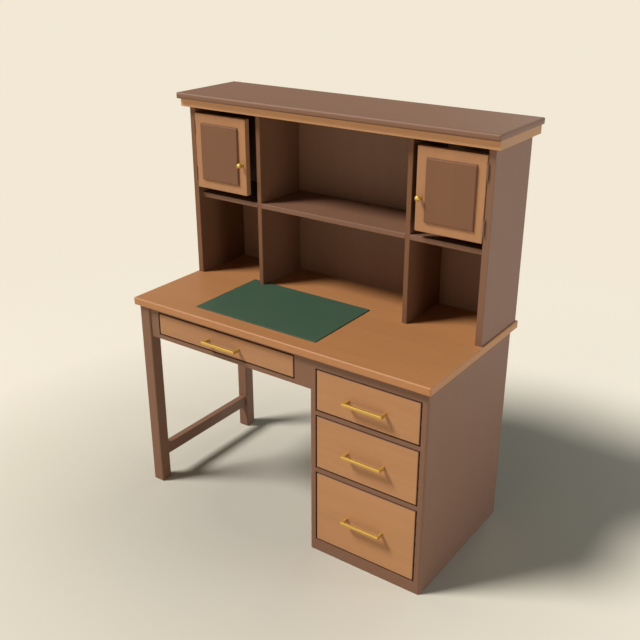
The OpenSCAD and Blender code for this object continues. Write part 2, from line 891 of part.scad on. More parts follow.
// Frame of the right door: grooved stiles, and rails whose stub tenons fill the groove
module door_frame() {
    in_x0 = door_x0 + door_frame_w;
    in_x1 = door_x1 - hinge_stile_w;
    in_z0 = door_z0 + door_frame_w;
    in_z1 = door_z1 - door_frame_w;
    groove = door_groove_d + joint_gap;
    gy0 = tongue_y0 - joint_gap;
    gy1 = tongue_y1 + joint_gap;
    intersection() {
        eased_board([door_x0, door_y0, door_z0], [door_w, door_t + 3 * panel_edge_r, door_h],
            panel_edge_r);
        union() {
            for (x = [[door_x0, in_x0], [in_x1, door_x1]]) difference() {
                span([x[0], door_y0, door_z0], [x[1], door_y1, door_z1]);
                span([in_x0 - groove, gy0, door_z0 - past], [in_x1 + groove, gy1,
                    door_z1 + past]);
            }
            for (z = [[door_z0, in_z0], [in_z1, door_z1]]) difference() {
                union() {
                    span([in_x0, door_y0, z[0]], [in_x1, door_y1, z[1]]);
                    span([in_x0 - door_groove_d, tongue_y0, z[0]],
                        [in_x1 + door_groove_d, tongue_y1, z[1]]);
                }
                span([in_x0 - groove, gy0, in_z0 - groove], [in_x1 + groove, gy1,
                    in_z1 + groove]);
            }
        }
    }
}

// Raised panel: a proud field with eased edges, and a tongue that floats in the groove
module door_panel() {
    field_gap = 0.4;
    in_x0 = door_x0 + door_frame_w;
    in_z0 = door_z0 + door_frame_w;
    in_w = door_w - door_frame_w - hinge_stile_w;
    in_h = door_h - 2 * door_frame_w;
    float = door_groove_d - 0.6;
    intersection() {
        eased_board([in_x0 + field_gap, door_y0 - panel_proud, in_z0 + field_gap],
            [in_w - 2 * field_gap, door_t, in_h - 2 * field_gap], field_edge_r);
        span([in_x0, door_y0 - panel_proud, in_z0], [in_x0 + in_w, tongue_y1, in_z0 + in_h]);
    }
    span([in_x0 - float, tongue_y0, in_z0 - float],
        [in_x0 + in_w + float, tongue_y1, in_z0 + in_h + float]);
}

// Turned knob on the stile: a foot, a waist and a ball
module door_knob() {
    foot_r = 6;
    foot_t = 2;
    waist_r = 3.5;
    translate([door_x0 + door_frame_w / 2, door_y0, knob_z]) rotate([90, 0, 0])
        rotate_extrude() {
            square([foot_r, foot_t]);
            square([waist_r, knob_reach]);
            intersection() {
                translate([0, knob_reach]) circle(knob_r);
                square([knob_r, knob_reach + knob_r]);
            }
        }
}

// HINGES

// One knuckle of a barrel with its pin hole
module knuckle(z0, z1, hole) {
    translate([pin_x, pin_y, z0]) difference() {
        cylinder(r = barrel_r, h = z1 - z0);
        translate([0, 0, -past]) cylinder(r = hole, h = z1 - z0 + 2 * past);
    }
}

// Leaf on the side panel, which carries the two end knuckles
module fixed_leaf(z) {
    z0 = z - hinge_h / 2;
    z1 = z + hinge_h / 2;
    x1 = hutch_in;
    difference() {
        union() {
            span([x1 - leaf_t, hutch_y0, z0], [x1, hutch_y0 + leaf_end, z1]);
            for (k = [[z0, z0 + knuckle_l], [z1 - knuckle_l, z1]]) {
                span([x1 - leaf_t, pin_y, k[0]], [x1, hutch_y0 + past, k[1]]);
                knuckle(k[0], k[1], pin_r + pin_gap / 2);
            }
        }
        translate([pin_x, pin_y, z0 - past]) cylinder(r = pin_r + pin_gap / 2,
            h = hinge_h + 2 * past);
    }
}

// Leaf on the door's edge, which carries the middle knuckle
module moving_leaf(z) {
    z0 = z - hinge_h / 2;
    z1 = z + hinge_h / 2;
    k0 = z0 + knuckle_l + knuckle_gap;
    k1 = z1 - knuckle_l - knuckle_gap;
    x0 = door_x1;
    difference() {
        union() {
            span([x0, hutch_y0, z0], [x0 + leaf_t, hutch_y0 + leaf_end - panel_edge_r, z1]);
            span([x0, pin_y, k0], [x0 + leaf_t, hutch_y0 + past, k1]);
            knuckle(k0, k1, pin_r + pin_gap);
        }
        translate([pin_x, pin_y, z0 - past]) cylinder(r = pin_r + pin_gap,
            h = hinge_h + 2 * past);
    }
}

module right_hinge_plates() {
    for (z = HINGE_Z) fixed_leaf(z);
}

module hinge_plates() {
    color(BRONZE) {
        right_hinge_plates();
        mirror([1, 0, 0]) right_hinge_plates();
    }
}

module hinge_pins() {
    color(BRONZE) for (s = [-1, 1], z = HINGE_Z)
        translate([s * pin_x, pin_y, z - hinge_h / 2]) cylinder(r = pin_r, h = hinge_h);
}

module right_door_leaves() {
    color(BRONZE) for (z = HINGE_Z) moving_leaf(z);
}

module left_door_leaves() {
    mirror([1, 0, 0]) right_door_leaves();
}

module right_door_frame() {
    color(LIGHT) door_frame();
}

module left_door_frame() {
    color(LIGHT) mirror([1, 0, 0]) door_frame();
}

module right_door_panel() {
    color(DARK) door_panel();
}

module left_door_panel() {
    color(DARK) mirror([1, 0, 0]) door_panel();
}

module right_door_knob() {
    color(BRASS) door_knob();
}

module left_door_knob() {
    color(BRASS) mirror([1, 0, 0]) door_knob();
}

desktop();
writing_surface();
front_leg();
rear_leg();
side_stretcher();
side_apron();
apron_left_stile();
apron_right_stile();
apron_top_rail();
apron_bottom_rail();
rear_apron();
pencil_runners();
pedestal_left_side();
pedestal_right_side();
pedestal_back();
pedestal_bottom();
pedestal_stiles();
pedestal_rails();
pedestal_runners();
hutch_left_side();
hutch_right_side();
left_divider();
right_divider();
hutch_shelves();
hutch_back();
hutch_dowels();
cornice_board();
cornice_moulding();
hinge_plates();
hinge_pins();
drawer_front(PENCIL);  // pencil_drawer_front
drawer_sides(PENCIL);  // pencil_drawer_sides
drawer_back(PENCIL);  // pencil_drawer_back
drawer_bottom(PENCIL);  // pencil_drawer_bottom
drawer_pull(PENCIL);  // pencil_drawer_pull
drawer_front(UPPER);  // upper_drawer_front
drawer_sides(UPPER);  // upper_drawer_sides
drawer_back(UPPER);  // upper_drawer_back
drawer_bottom(UPPER);  // upper_drawer_bottom
drawer_pull(UPPER);  // upper_drawer_pull
drawer_front(MIDDLE);  // middle_drawer_front
drawer_sides(MIDDLE);  // middle_drawer_sides
drawer_back(MIDDLE);  // middle_drawer_back
drawer_bottom(MIDDLE);  // middle_drawer_bottom
drawer_pull(MIDDLE);  // middle_drawer_pull
drawer_front(LOWER);  // lower_drawer_front
drawer_sides(LOWER);  // lower_drawer_sides
drawer_back(LOWER);  // lower_drawer_back
drawer_bottom(LOWER);  // lower_drawer_bottom
drawer_pull(LOWER);  // lower_drawer_pull
left_door_frame();
left_door_panel();
left_door_knob();
left_door_leaves();
right_door_frame();
right_door_panel();
right_door_knob();
right_door_leaves();
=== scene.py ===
# %% [markdown]
# A writing desk with a hutch, dressed for a studio picture.
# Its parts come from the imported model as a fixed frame: their shapes are already right.
# This lesson gives them wood, leather and metal, adds the small hardware that a cabinet
# maker puts on last, and lights the desk in a plain studio.

import math

import bmesh
import bpy
import numpy as np
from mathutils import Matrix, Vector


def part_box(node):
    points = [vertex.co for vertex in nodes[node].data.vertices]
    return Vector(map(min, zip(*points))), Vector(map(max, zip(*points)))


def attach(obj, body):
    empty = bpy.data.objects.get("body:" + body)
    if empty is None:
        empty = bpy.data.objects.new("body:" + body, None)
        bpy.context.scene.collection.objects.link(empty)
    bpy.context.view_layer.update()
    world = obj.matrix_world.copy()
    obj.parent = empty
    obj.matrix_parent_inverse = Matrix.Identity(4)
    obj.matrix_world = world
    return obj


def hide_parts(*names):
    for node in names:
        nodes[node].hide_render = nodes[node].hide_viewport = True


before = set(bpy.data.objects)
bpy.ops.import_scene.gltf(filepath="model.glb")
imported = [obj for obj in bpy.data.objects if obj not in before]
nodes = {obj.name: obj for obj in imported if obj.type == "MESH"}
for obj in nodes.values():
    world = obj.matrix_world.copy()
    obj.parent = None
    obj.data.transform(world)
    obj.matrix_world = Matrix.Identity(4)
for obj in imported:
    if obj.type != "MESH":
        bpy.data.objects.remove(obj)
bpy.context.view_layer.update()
DRAWERS = ("pencil", "upper", "middle", "lower")
DOORS = ("left", "right")

# %% [markdown]
# The camera comes first, so that every later step can be looked at in the photo's own view.
# A 50 mm lens stands in front of the desk and to its right, almost 2 m up, and looks down
# at it. Its place and its two angles were worked out from the corners of the desk.

# %% Camera
CAMERA_AT = (1.63739, -2.30414, 1.94816)
CAMERA_YAW = math.radians(35.399)
CAMERA_DOWN = math.radians(23.558)
LENS_MM, FILM_MM = 50, 36

camera_data = bpy.data.cameras.new("camera")
camera_data.lens = LENS_MM
camera_data.sensor_width = FILM_MM
camera = bpy.data.objects.new("camera", camera_data)
camera.location = CAMERA_AT
camera.rotation_euler = (math.pi / 2 - CAMERA_DOWN, 0, CAMERA_YAW)
bpy.context.scene.collection.objects.link(camera)
bpy.context.scene.camera = camera
bpy.context.scene.view_settings.view_transform = "Standard"
print("camera at", CAMERA_AT)

# %% [markdown]
# Colours are written as sRGB hex, the way a colour picker shows them, but a shader
# works with linear light. One function turns the first into the second: it undoes the
# sRGB curve, which is a straight line near black and a power of 2.4 above it.

# %% Colours
def linear(hex_colour):
    """Linear RGBA of an sRGB hex colour: c/12.92 below 0.04045, else ((c+0.055)/1.055)^2.4."""
    c = np.array([int(hex_colour[i:i + 2], 16) for i in (1, 3, 5)]) / 255
    c = np.where(c <= 0.04045, c / 12.92, ((c + 0.055) / 1.055) ** 2.4)
    return (*c.tolist(), 1.0)


WALNUT = "#77533d"
INNER_WALNUT = "#76523a"
PANEL_WALNUT = "#76513a"
# Painted light: the drawer fronts are a little lighter the lower they sit, to even out a light
# that falls off towards the floor; the doors take the pencil drawer's tone.
FRONT_OAK_LIGHTER_BELOW = {"pencil": "#a57650", "upper": "#aa7950", "middle": "#ab7a51", "lower": "#af7d53"}
TOP_OAK = "#a97346"
# Painted light: the moulding's oak is paler than the fronts' oak, to make up for the cornice
# board's shadow on its front.
LIT_MOULDING_OAK = "#c59165"
# Painted shade: the dark colour of the line round a drawer front, standing in for the shadow in
# its gap.
GAP_SHADE_COLOUR = "#54301b"
BIRCH = "#c9ab80"
print("walnut in linear light:", [round(v, 3) for v in linear(WALNUT)])

# %% [markdown]
# Every material is a small network of nodes. One helper adds a node, gives it its
# settings and plugs its inputs, so that each recipe below reads from top to bottom.
# An input is either a number, a colour or another node's output.

# %% Node helper
def add(tree, kind, inputs=None, output=0, **settings):
    """Adds a node: settings are its properties, inputs its sockets; returns one output."""
    node = tree.nodes.new(kind)
    for name, value in settings.items():
        setattr(node, name, value)
    for name, value in (inputs or {}).items():
        if isinstance(value, bpy.types.NodeSocket):
            tree.links.new(value, node.inputs[name])
        else:
            node.inputs[name].default_value = value
    return node.outputs[output] if len(node.outputs) else node


def new_material(name):
    """An empty node material and its tree."""
    material = bpy.data.materials.new(name)
    material.use_nodes = True
    material.node_tree.nodes.clear()
    return material, material.node_tree


# %% [markdown]
# Wood is a bundle of fibres that run along the trunk. Cut into a board, its yearly rings
# show as long bands, and its pores as fine dark dashes, both drawn out along the grain.
# So the figure is made in a space that is squeezed along the grain: a broad noise gives
# the slow changes of tone, a finer one the rings, and the finest the pores. Real pores are
# a few tenths of a millimetre wide. They are drawn at 3 mm, the finest that the picture
# can show. The figure is measured in the piece's own coordinates, so it moves with a
# drawer or a door.

# %% Wood figure
MM = 0.001
TONE_MM, RING_MM, PORE_MM = 143, 22, 3
STRETCH = 22
PORE_SHARE = 0.5
OFF_CENTRE = (0.31, 0.17, 0.23)
GRAIN_TURN = {"x": (0, 0, math.pi / 2), "y": (0, 0, 0), "z": (-math.pi / 2, 0, 0)}


def wood_figure(tree, at, along):
    """The sum tone + rings + PORE_SHARE · pores, and the pores alone.

    Each is a noise as wide as its value in MM says, and STRETCH times as long.
    """
    turned = add(tree, "ShaderNodeMapping", {"Vector": at, "Rotation": GRAIN_TURN[along]})
    fibres = add(tree, "ShaderNodeMapping", {"Vector": turned, "Location": OFF_CENTRE,
                                             "Scale": (1, 1 / STRETCH, 1)})
    tone = add(tree, "ShaderNodeTexNoise", {"Vector": fibres, "Scale": 1 / (TONE_MM * MM),
                                            "Detail": 3.0})
    rings = add(tree, "ShaderNodeTexNoise", {"Vector": fibres, "Scale": 1 / (RING_MM * MM),
                                             "Detail": 2.0, "Distortion": 0.6})
    pores = add(tree, "ShaderNodeTexNoise", {"Vector": fibres, "Scale": 1 / (PORE_MM * MM),
                                             "Detail": 2.0, "Roughness": 0.6})
    both = add(tree, "ShaderNodeMath", {0: tone, 1: rings}, operation="ADD")
    figure = add(tree, "ShaderNodeMath", {0: pores, 1: PORE_SHARE, 2: both},
                 operation="MULTIPLY_ADD")
    return figure, pores


# %% [markdown]
# Two details depend on where a point lies on its board, and both are painted shade. A dark
# line painted round the outline of a drawer front stands in for the shadow in the gap round
# it. And the moulding's two end lengths, on the far side of the mitres, are painted a tone
# darker than its front length, as shade on its ends.

# %% Painted shade round the drawer fronts and on the moulding's ends
# Painted shade: the dark line runs in from a drawer front's outline and fades out between these
# depths.
GAP_SHADE_DARK_MM, GAP_SHADE_CLEAR_MM = 0.8, 3.6
# Painted shade: the factor that darkens the moulding's end lengths.
END_LENGTH_SHADE = 0.66


def from_outline(tree, at, low, high):
    """How deep inside a front's outline: half size − |place − middle|, the lesser of x and z."""
    inward = []
    for axis in (0, 2):
        middle, half = (low[axis] + high[axis]) / 2, (high[axis] - low[axis]) / 2
        place = add(tree, "ShaderNodeSeparateXYZ", {0: at}, output=axis)
        off = add(tree, "ShaderNodeMath", {0: place, 1: middle}, operation="SUBTRACT")
        size = add(tree, "ShaderNodeMath", {0: off}, operation="ABSOLUTE")
        inward.append(add(tree, "ShaderNodeMath", {0: half, 1: size}, operation="SUBTRACT"))
    return add(tree, "ShaderNodeMath", {0: inward[0], 1: inward[1]}, operation="MINIMUM")


def painted_end_shade(tree, at):
    """Painted shade: 1 on the moulding's front length, the darker end factor past the mitres |x|
    + y = x1 + y0.
    """
    (_, y0, _), (x1, _, _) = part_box("cornice_moulding")
    x = add(tree, "ShaderNodeSeparateXYZ", {0: at}, output="X")
    y = add(tree, "ShaderNodeSeparateXYZ", {0: at}, output="Y")
    aside = add(tree, "ShaderNodeMath", {0: x}, operation="ABSOLUTE")
    reach = add(tree, "ShaderNodeMath", {0: aside, 1: y}, operation="ADD")
    past = add(tree, "ShaderNodeMath", {0: reach, 1: x1 + y0}, operation="GREATER_THAN")
    return add(tree, "ShaderNodeMapRange", {"Value": past, "To Min": 1.0,
                                            "To Max": END_LENGTH_SHADE})


# %% [markdown]
# One recipe then serves every board, turned to the direction in which it was sawn. The desk
# is evenly stained and rubbed smooth, so its figure is kept faint, and the satin lacquer
# gives a soft, wide shine. The pores make its surface, and so the shine, a little uneven.
# The drawer boxes, the runners and other hidden parts are bare birch, whose own colour
# takes the place of the stain.

# %% Wood finish
WALNUT_FIGURE, OAK_FIGURE, BIRCH_FIGURE = 0.045, 0.06, 0.1
FIGURE_LOW, FIGURE_HIGH = 0.85, 1.65
GLOSS_DRIFT = 0.05
PORE_DENT, PORE_DEPTH_MM = 0.05, 0.3


def wood_finish(name, stain, along, contrast=OAK_FIGURE, rough=0.6, shine=0.35, outline=None,
                shaded_ends=False):
    """The stain times 1 ± contrast as the figure goes from FIGURE_LOW to FIGURE_HIGH."""
    material, tree = new_material(name)
    at = add(tree, "ShaderNodeTexCoord", output="Object")
    figure, pores = wood_figure(tree, at, along)
    shade = add(tree, "ShaderNodeMapRange", {"Value": figure, "From Min": FIGURE_LOW,
                                             "From Max": FIGURE_HIGH, "To Min": 1 - contrast,
                                             "To Max": 1 + contrast})
    # Painted shade: the moulding's end lengths are darkened.
    if shaded_ends:
        shade = add(tree, "ShaderNodeMath", {0: shade, 1: painted_end_shade(tree, at)},
                    operation="MULTIPLY")
    colour = add(tree, "ShaderNodeVectorMath", {0: linear(stain)[:3], "Scale": shade},
                 operation="SCALE")
    # Painted shade: near a drawer front's outline the colour turns to the dark gap shade.
    if outline:
        clear = add(tree, "ShaderNodeMapRange", {"Value": from_outline(tree, at, *outline),
                                                 "From Min": GAP_SHADE_DARK_MM * MM,
                                                 "From Max": GAP_SHADE_CLEAR_MM * MM})
        colour = add(tree, "ShaderNodeMix", {"Factor": clear, "A": linear(GAP_SHADE_COLOUR),
                                             "B": colour}, output="Result", data_type="RGBA")
    dullness = add(tree, "ShaderNodeMapRange", {"Value": pores, "To Min": rough - GLOSS_DRIFT,
                                                "To Max": rough + GLOSS_DRIFT})
    dents = add(tree, "ShaderNodeBump", {"Height": pores, "Strength": PORE_DENT,
                                         "Distance": PORE_DEPTH_MM * MM})
    surface = add(tree, "ShaderNodeBsdfPrincipled", {"Base Color": colour,
                                                     "Roughness": dullness,
                                                     "Specular IOR Level": shine,
                                                     "Normal": dents})
    add(tree, "ShaderNodeOutputMaterial", {"Surface": surface})
    return material


# %% [markdown]
# The frame is walnut and the fronts, the top and the moulding are golden oak. The insides
# of the hutch and the door panels were rubbed down more than the rest, so they shine less.

# %% The desk's woods
walnut = {axis: wood_finish(f"stained_walnut_grain_{axis}", WALNUT, axis, WALNUT_FIGURE,
                            shine=0.45) for axis in "xyz"}
inner_walnut = wood_finish("stained_walnut_inside_hutch", INNER_WALNUT, "z", WALNUT_FIGURE,
                           rough=0.65, shine=0.2)
panel_walnut = wood_finish("stained_walnut_door_panel", PANEL_WALNUT, "z", WALNUT_FIGURE,
                           rough=0.65, shine=0.25)
door_oak = wood_finish("golden_oak_door", FRONT_OAK_LIGHTER_BELOW["pencil"], "z")
# Each drawer front gets the painted gap shade round its outline.
front_oak = {drawer: wood_finish(f"golden_oak_{drawer}_front", FRONT_OAK_LIGHTER_BELOW[drawer], "x",
                                 outline=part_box(f"{drawer}_drawer_front"))
             for drawer in DRAWERS}
top_oak = wood_finish("golden_oak_desktop", TOP_OAK, "x", rough=0.5, shine=0.4)
# Painted light and shade: a paler oak on the moulding's front, darker on its end lengths.
moulding_oak = wood_finish("golden_oak_moulding", LIT_MOULDING_OAK, "x", shaded_ends=True)
birch = {axis: wood_finish(f"bare_birch_grain_{axis}", BIRCH, axis, BIRCH_FIGURE, shine=0.5)
         for axis in "xyz"}
print("woods:", [wood.name for group in (walnut, front_oak, birch) for wood in group.values()])

# %% [markdown]
# The writing surface is a thin skin of green leather, glued down flat. Its dimpled grain is
# a few tenths of a millimetre wide on the real one. It is drawn here at 3 mm, the finest
# that the picture can show. The dye takes a little unevenly from place to place, and the
# rims between the dimples are a touch darker and duller.

# %% Leather
GREEN = "#364f3c"
DIMPLE_MM, DYE_CLOUD_MM = 3.0, 90.0
RIM_SHARE = -0.3
DYE_LOW, DYE_HIGH, DYE_DRIFT = 0.1, 0.7, 0.05
LEATHER_ROUGH = (0.5, 0.6)
LEATHER_DENT, DIMPLE_DEPTH_MM = 0.12, 0.2


def grained_leather():
    """The dye times 1 ± DYE_DRIFT, as cloud + RIM_SHARE · distance goes from low to high.

    The distance is that from the nearest dimple's middle, and serves as height and dullness.
    """
    material, tree = new_material("dyed_green_leather")
    at = add(tree, "ShaderNodeTexCoord", output="Object")
    dimples = add(tree, "ShaderNodeTexVoronoi", {"Vector": at, "Scale": 1 / (DIMPLE_MM * MM)},
                  output="Distance")
    cloud = add(tree, "ShaderNodeTexNoise", {"Vector": at, "Scale": 1 / (DYE_CLOUD_MM * MM),
                                             "Detail": 2.0})
    both = add(tree, "ShaderNodeMath", {0: dimples, 1: RIM_SHARE, 2: cloud},
               operation="MULTIPLY_ADD")
    shade = add(tree, "ShaderNodeMapRange", {"Value": both, "From Min": DYE_LOW,
                                             "From Max": DYE_HIGH, "To Min": 1 - DYE_DRIFT,
                                             "To Max": 1 + DYE_DRIFT})
    colour = add(tree, "ShaderNodeVectorMath", {0: linear(GREEN)[:3], "Scale": shade},
                 operation="SCALE")
    dullness = add(tree, "ShaderNodeMapRange", {"Value": dimples, "To Min": LEATHER_ROUGH[0],
                                                "To Max": LEATHER_ROUGH[1]})
    dents = add(tree, "ShaderNodeBump", {"Height": dimples, "Strength": LEATHER_DENT,
                                         "Distance": DIMPLE_DEPTH_MM * MM})
    surface = add(tree, "ShaderNodeBsdfPrincipled", {"Base Color": colour,
                                                     "Roughness": dullness, "Normal": dents})
    add(tree, "ShaderNodeOutputMaterial", {"Surface": surface})
    return material


leather = grained_leather()
print("leather:", leather.name)

# %% [markdown]
# The pulls and knobs are solid brass, brushed and lacquered. The scratches of the brush are
# too fine to show. What the eye gets is a shine that wanders a little. The hinges are steel
# with a baked brown enamel, close to the walnut's own tone, so that they hardly show. Enamel
# covers the steel, so it isn't metallic to the eye: it is a satin paint with a faint
# orange-peel surface. The screws are steel that was darkened in a bath, which leaves a
# bare, brownish metal.

# %% Metals
BRASS, BROWN_ENAMEL, DARK_STEEL = "#c9a75c", "#76553f", "#9a8266"
PATCH_MM = 4.0
PATCH_DENT, PATCH_DEPTH_MM = 0.04, 0.2


def satin_metal(name, colour, metallic, rough):
    """Metal or enamel whose roughness is rough ± GLOSS_DRIFT over patches PATCH_MM wide."""
    material, tree = new_material(name)
    at = add(tree, "ShaderNodeTexCoord", output="Object")
    patches = add(tree, "ShaderNodeTexNoise", {"Vector": at, "Scale": 1 / (PATCH_MM * MM),
                                               "Detail": 2.0})
    dullness = add(tree, "ShaderNodeMapRange", {"Value": patches,
                                                "To Min": rough - GLOSS_DRIFT,
                                                "To Max": rough + GLOSS_DRIFT})
    dents = add(tree, "ShaderNodeBump", {"Height": patches, "Strength": PATCH_DENT,
                                         "Distance": PATCH_DEPTH_MM * MM})
    surface = add(tree, "ShaderNodeBsdfPrincipled", {"Base Color": linear(colour),
                                                     "Roughness": dullness,
                                                     "Metallic": metallic, "Normal": dents})
    add(tree, "ShaderNodeOutputMaterial", {"Surface": surface})
    return material


brass = satin_metal("lacquered_brass", BRASS, metallic=1.0, rough=0.6)
enamel = satin_metal("brown_enamelled_steel", BROWN_ENAMEL, metallic=0.0, rough=0.5)
screw_steel = satin_metal("bronzed_screw_steel", DARK_STEEL, metallic=1.0, rough=0.45)
print("metals:", brass.name, enamel.name, screw_steel.name)

# %% [markdown]
# A cabinet maker turns each board so that its grain runs the long way. The table below
# does the same: for each node the finish and, where it is wood, the axis of its grain.

# %% Give every node its finish
finishes = {
    "desktop": top_oak, "writing_surface": leather,
    "front_leg": walnut["z"], "rear_leg": walnut["z"],
    "side_stretcher": walnut["y"], "side_apron": walnut["y"],
    "apron_left_stile": walnut["z"], "apron_right_stile": walnut["z"],
    "apron_top_rail": walnut["x"], "apron_bottom_rail": walnut["x"], "rear_apron": walnut["x"],
    "pencil_runners": birch["y"], "pedestal_runners": birch["y"],
    "pedestal_left_side": walnut["z"], "pedestal_right_side": walnut["z"],
    "pedestal_back": walnut["z"], "pedestal_bottom": birch["y"],
    "pedestal_stiles": walnut["z"], "pedestal_rails": walnut["x"],
    "hutch_left_side": inner_walnut, "hutch_right_side": walnut["z"],
    "left_divider": inner_walnut, "right_divider": inner_walnut,
    "hutch_shelves": walnut["x"], "hutch_back": walnut["z"], "hutch_dowels": birch["z"],
    "cornice_board": walnut["x"], "cornice_moulding": moulding_oak,
    "hinge_plates": enamel, "hinge_pins": enamel,
}
for drawer in DRAWERS:
    finishes.update({
        f"{drawer}_drawer_front": front_oak[drawer], f"{drawer}_drawer_sides": birch["y"],
        f"{drawer}_drawer_back": birch["x"], f"{drawer}_drawer_bottom": birch["x"],
        f"{drawer}_drawer_pull": brass,
    })
for door in DOORS:
    finishes.update({
        f"{door}_door_frame": door_oak, f"{door}_door_panel": panel_walnut,
        f"{door}_door_knob": brass, f"{door}_door_leaves": enamel,
    })
for name, material in finishes.items():
    slots = nodes[name].data.materials
    slots.clear()
    slots.append(material)
print("finished nodes:", len(finishes), "of", len(nodes))

# %% [markdown]
# What is added to the desk now goes through one helper. It makes a mesh of points and
# faces, merges doubles and turns the faces outwards. Then it gives the piece its material
# and the body that carries it.

# %% Piece helper
MERGE_WITHIN = 1e-6


def finished_piece(name, vertices, faces, material, body, slot):
    """A closed mesh at the origin with its doubles merged and its faces outwards, on its body."""
    mesh = bpy.data.meshes.new(name)
    mesh.from_pydata(vertices.tolist(), [], faces)
    shell = bmesh.new()
    shell.from_mesh(mesh)
    bmesh.ops.remove_doubles(shell, verts=shell.verts, dist=MERGE_WITHIN)
    bmesh.ops.recalc_face_normals(shell, faces=shell.faces)
    shell.to_mesh(mesh)
    shell.free()
    piece = bpy.data.objects.new(name, mesh)
    bpy.context.scene.collection.objects.link(piece)
    mesh.materials.append(material)
    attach(piece, body)
    return piece


# %% [markdown]
# The real leather stands a few millimetres above the wood, and its edge is pared and turned
# over, so the rim is soft and catches no sharp line of light. A bevel modifier could round
# the flat sheet, but its outline has a notch for the hutch's left divider, and a profile
# carried round the outline gives every corner the same clean mitre. The outline's corners
# move inwards by the sum of their two edges' inward normals, which keeps each edge parallel
# to itself.

# %% Leather skin with a turned edge
EDGE_ROLL = 0.8 * MM
NOTCH_GAP = 1.0 * MM
ROLL_STEPS = 5


def leather_outline():
    """The sheet's corners, counter-clockwise, with the notch NOTCH_GAP clear of the divider."""
    (x0, y0, _), (x1, y1, _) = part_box("writing_surface")
    divider_low, divider_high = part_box("left_divider")
    n0, n1 = divider_low[0] - NOTCH_GAP, divider_high[0] + NOTCH_GAP
    front = divider_low[1] - NOTCH_GAP
    return np.array([(x0, y0), (x1, y0), (x1, y1), (n1, y1), (n1, front), (n0, front),
                     (n0, y1), (x0, y1)])


def rolled_skin():
    """Rings at inset r(1 − cos a) and height z1 − r(1 − sin a), a from 0 to 90°, over a wall."""
    outline = leather_outline()
    z0, z1 = (corner[2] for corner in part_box("writing_surface"))
    along = np.roll(outline, -1, axis=0) - outline
    along /= np.linalg.norm(along, axis=1, keepdims=True)
    inward = np.stack([-along[:, 1], along[:, 0]], axis=1)
    mitre = inward + np.roll(inward, 1, axis=0)
    angle = np.linspace(0, math.pi / 2, ROLL_STEPS)
    inset = np.concatenate([[0], EDGE_ROLL * (1 - np.cos(angle))])
    level = np.concatenate([[z0], z1 - EDGE_ROLL * (1 - np.sin(angle))])
    corners = len(outline)
    rings = np.empty((len(inset), corners, 3))
    rings[:, :, :2] = outline + inset[:, None, None] * mitre
    rings[:, :, 2] = level[:, None]
    row, column = np.meshgrid(np.arange(len(inset) - 1), np.arange(corners), indexing="ij")
    here = (row * corners + column).ravel()
    beside = (row * corners + (column + 1) % corners).ravel()
    walls = np.stack([here, beside, beside + corners, here + corners], axis=1).tolist()
    top = [(len(inset) - 1) * corners + k for k in range(corners)]
    underside = list(range(corners))[::-1]
    return rings.reshape(-1, 3), walls + [top, underside]


skin = finished_piece("leather_skin", *rolled_skin(), leather, "desk", "green_leather")
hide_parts("writing_surface")
print("leather skin:", len(skin.data.polygons), "faces, edge turned over", EDGE_ROLL, "m")

# %% [markdown]
# Screws hold what glue doesn't: the hinge leaves, the knobs, the pulls, the drawer bottoms and
# the two backs. Each head is a shallow dome with one straight slot. It is a surface of two
# parameters: rows v step across the slot and stop at its two edges, and columns u run along
# it. The slots are turned differently from screw to screw, as a hand leaves them.

# %% Screw heads
SLOT_HALF = 0.12
HEAD_V = np.array([-1, -0.92, -0.7, -0.4, -SLOT_HALF, -SLOT_HALF,
                   SLOT_HALF, SLOT_HALF, 0.4, 0.7, 0.92, 1])
HEAD_U = np.linspace(-1, 1, 9)
SLOT_ROWS = (5, 6)
SLOT_TURN = 2.4
SUNK = 0.4 * MM


def screw_heads(places):
    """Domes with x = u√(1 − v²), y = v and height rise · (1 − (x² + y²)/2).

    The rows of the slot are lower by its depth, and each head is closed SUNK under the
    surface that it sits on. A place is the head's middle, the way it looks, its radius,
    its rise and the depth of its slot.
    """
    u, v = np.meshgrid(HEAD_U, HEAD_V)
    x, y = u * np.sqrt(1 - v ** 2), v
    in_slot = np.zeros_like(u)
    in_slot[list(SLOT_ROWS)] = 1
    rows, columns = u.shape
    loop = columns + 2
    row, column = np.meshgrid(np.arange(rows - 1), np.arange(loop), indexing="ij")
    here = (row * loop + column).ravel()
    beside = (row * loop + (column + 1) % loop).ravel()
    quads = np.stack([here, beside, beside + loop, here + loop], axis=1)
    vertices, faces = [], []
    for k, (middle, way, radius, rise, depth) in enumerate(places):
        out = np.array(way, float)
        side = np.array([1.0, 0, 0]) if abs(out[0]) < 0.5 else np.array([0, 1.0, 0])
        turn = SLOT_TURN * k
        along = math.cos(turn) * side + math.sin(turn) * np.cross(out, side)
        across = np.cross(out, along)
        height = rise * (1 - (x ** 2 + y ** 2) / 2) - depth * in_slot
        top = radius * (x[..., None] * along + y[..., None] * across) + height[..., None] * out
        under = top[:, [-1, 0]] - (height[:, [-1, 0], None] + SUNK) * out
        points = np.concatenate([top, under], axis=1) + np.array(middle)
        faces.append(quads + len(vertices) * rows * loop)
        vertices.append(points.reshape(-1, 3))
    return np.concatenate(vertices), np.concatenate(faces).tolist()


# %% [markdown]
# A back board is screwed round its whole edge, at an even spacing. A drawer has two screws
# through its front into the pull, and a row up through the back edge of its bottom into the
# drawer's back. All the places are worked out from the frame's boxes.

# %% Screws of the backs and the drawers
BACK_STEP, BACK_IN = 150 * MM, 6 * MM
BOTTOM_STEP, BOTTOM_IN = 200 * MM, 40 * MM
PULL_FOOT_IN = 5 * MM
PULL_SCREW = (3.5 * MM, 1.4 * MM, 0.7 * MM)
BACK_SCREW = (3.0 * MM, 0.6 * MM, 0.4 * MM)


